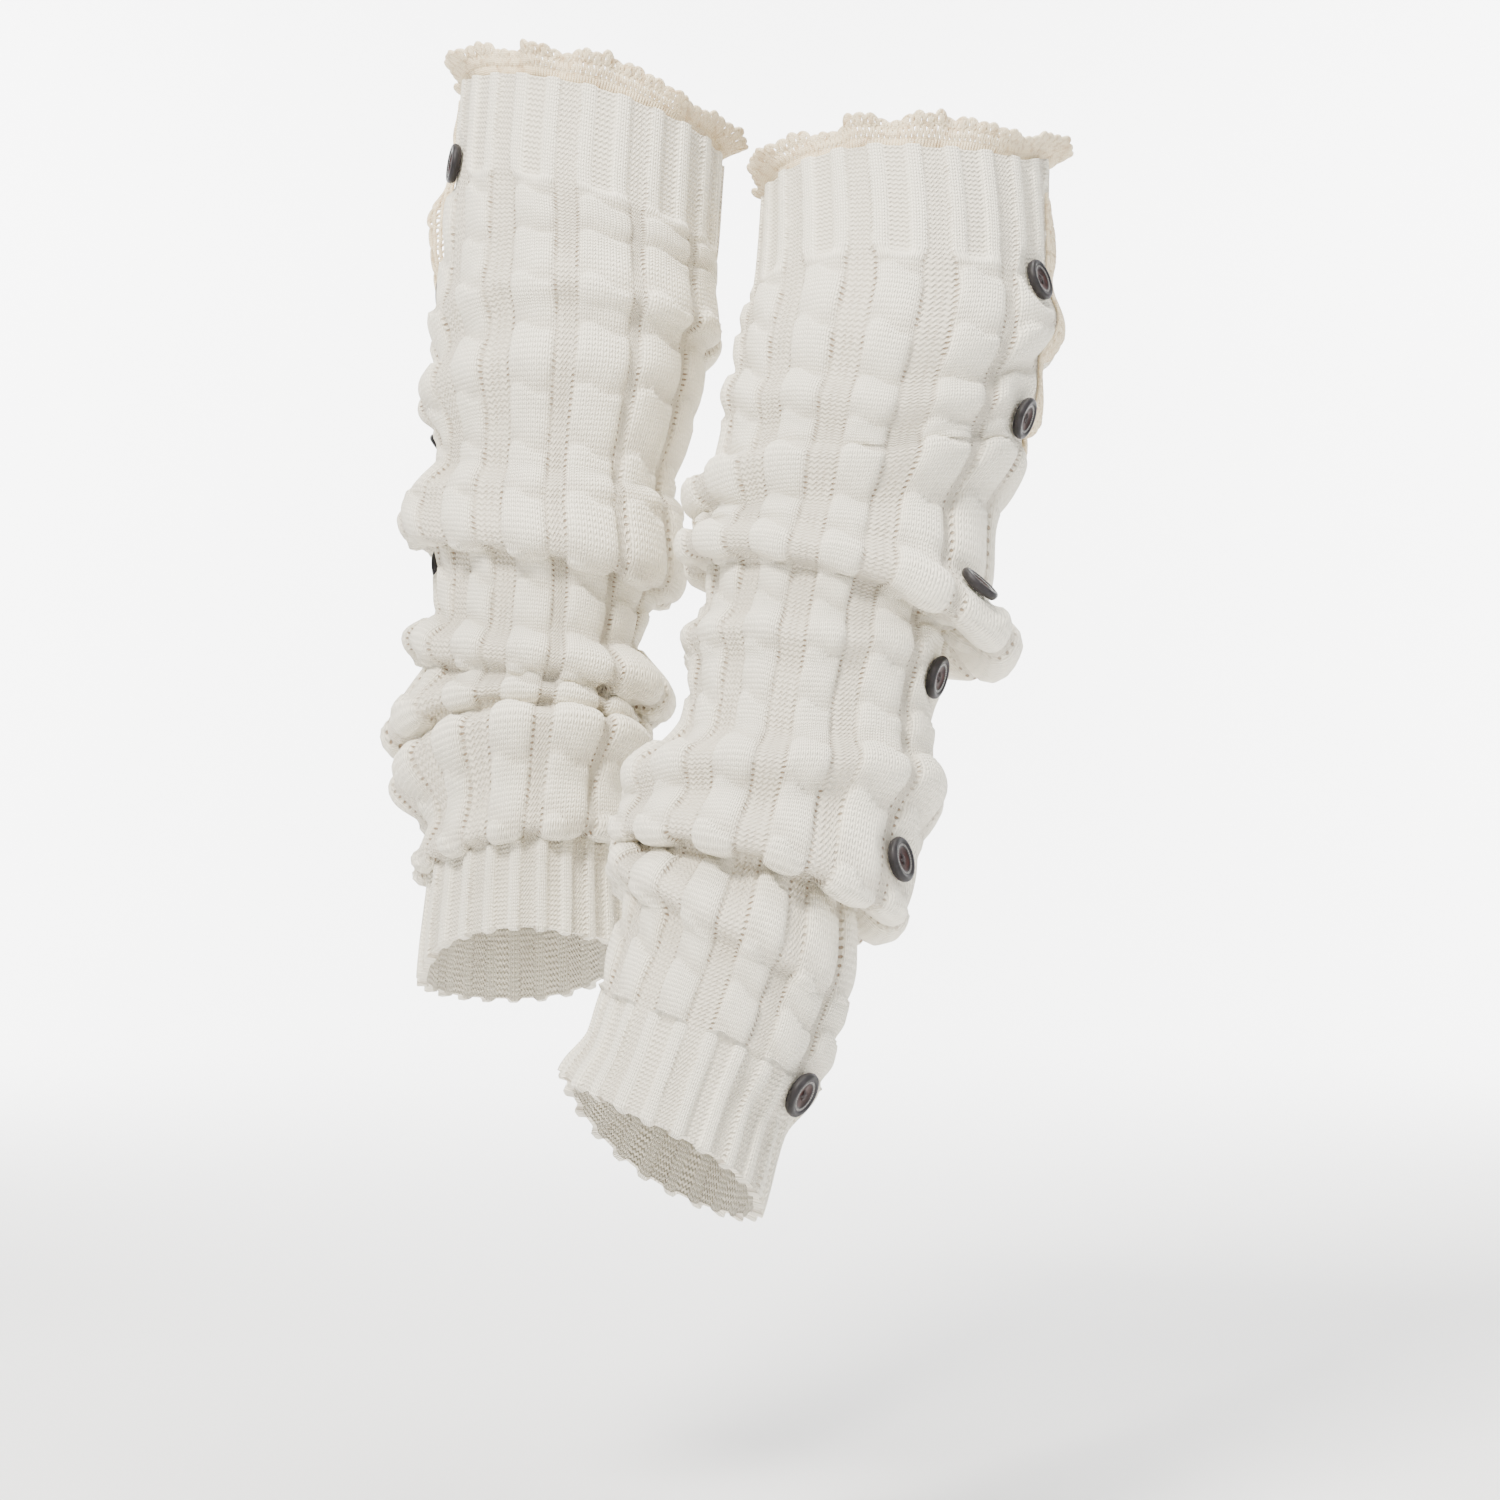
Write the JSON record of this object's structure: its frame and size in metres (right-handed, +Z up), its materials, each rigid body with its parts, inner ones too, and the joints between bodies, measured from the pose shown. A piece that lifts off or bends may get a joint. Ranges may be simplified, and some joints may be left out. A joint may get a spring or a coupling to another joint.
{
  "type": "knitted boot cuffs",
  "caption": "Pair of long cable-knit boot cuffs, open tubes slouched in folds as worn, with ribbed ends, a lace ruffle at the top edge, a lace strip and a row of buttons down the outer side.",
  "frame": {"origin": "midway between the two top openings, where the seated wearer's legs hold the pair", "axes": "+Z up, -Y towards the feet and the viewer, +X to the viewer's right"},
  "size_m": [0.297, 0.361, 0.4984],
  "materials": {
    "knit": "soft cream yarn, ribbed and cabled, matt",
    "lace": "ecru cotton crochet lace, matt",
    "button": "charcoal imitation horn with a dished brown centre, satin"
  },
  "bodies": {
    "root": {"left_top_band": "knit", "left_leg_upper": "knit", "left_leg_middle": "knit", "left_leg_lower": "knit", "left_ankle_band": "knit", "left_top_lace": "lace", "left_side_lace": "lace", "left_button_1": "button", "left_button_2": "button", "left_button_3": "button", "left_button_4": "button", "left_button_5": "button", "left_button_6": "button", "right_top_band": "knit", "right_leg_upper": "knit", "right_leg_middle": "knit", "right_leg_lower": "knit", "right_ankle_band": "knit", "right_top_lace": "lace", "right_side_lace": "lace", "right_button_1": "button", "right_button_2": "button", "right_button_3": "button", "right_button_4": "button", "right_button_5": "button", "right_button_6": "button"}
  },
  "joints": []
}
